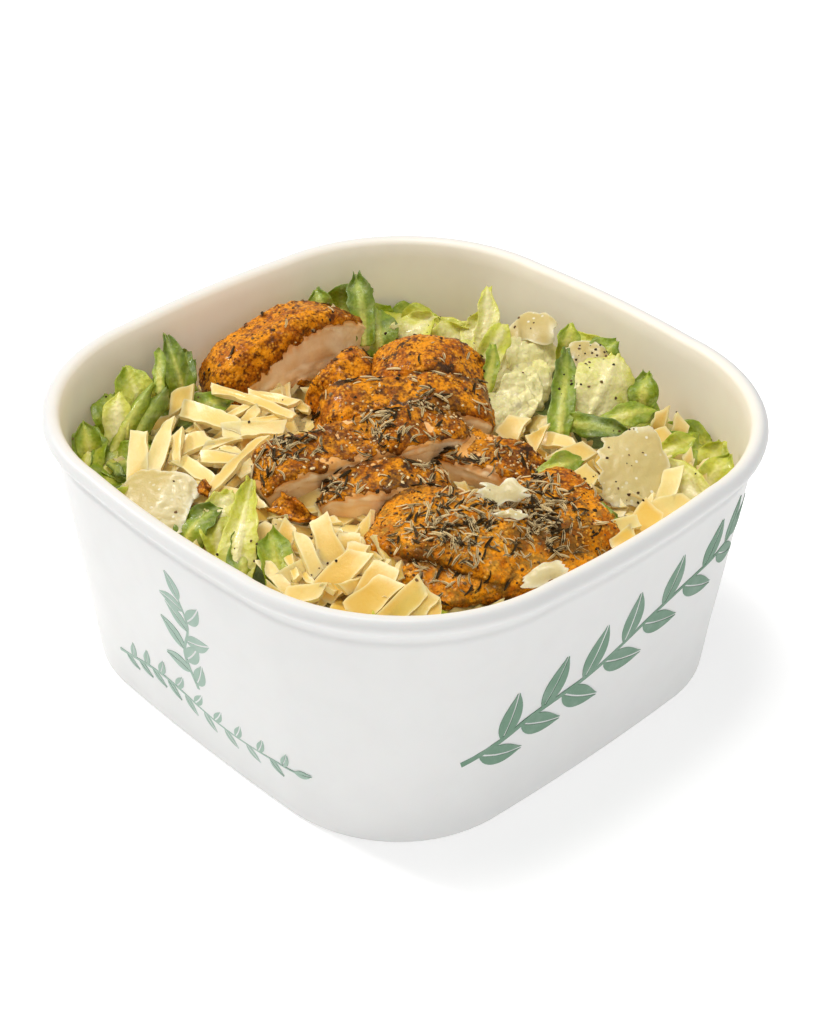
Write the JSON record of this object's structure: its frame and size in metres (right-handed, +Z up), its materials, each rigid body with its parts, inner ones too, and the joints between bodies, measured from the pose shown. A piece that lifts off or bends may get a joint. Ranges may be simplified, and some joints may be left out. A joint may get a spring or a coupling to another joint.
{
  "type": "chicken caesar salad in a square paper bowl",
  "caption": "Square paper takeaway bowl filled with romaine lettuce, cheese slabs, herbed grilled chicken strips and parmesan shavings; stands flat.",
  "frame": {"origin": "centre of the bowl's foot, on the surface it stands on", "axes": "+Z up; the bowl's four sides face +X, -X, +Y and -Y, and its rounded corners lie between them"},
  "size_m": [0.1748, 0.1748, 0.08],
  "materials": {
    "paper": "smooth matt white coated paperboard",
    "salad": "moist pale green romaine and creamy cheese",
    "chicken": "golden seasoned crust with dried herbs, pale cut sides",
    "cheese": "off-white thin shaved hard cheese"
  },
  "bodies": {
    "root": {"bowl": "paper", "salad_heap": "salad", "chicken_cut_end": "chicken", "chicken_back_low": "chicken", "chicken_back_top": "chicken", "chicken_upper": "chicken", "chicken_long": "chicken", "chicken_middle": "chicken", "chicken_centre": "chicken", "chicken_right": "chicken", "chicken_front": "chicken", "chicken_low_front": "chicken", "shaving_front_left": "cheese", "shaving_right": "cheese", "shaving_back": "cheese", "shaving_clump": "cheese", "shaving_centre": "cheese", "shaving_sliver": "cheese", "shaving_low_front": "cheese"}
  },
  "joints": []
}
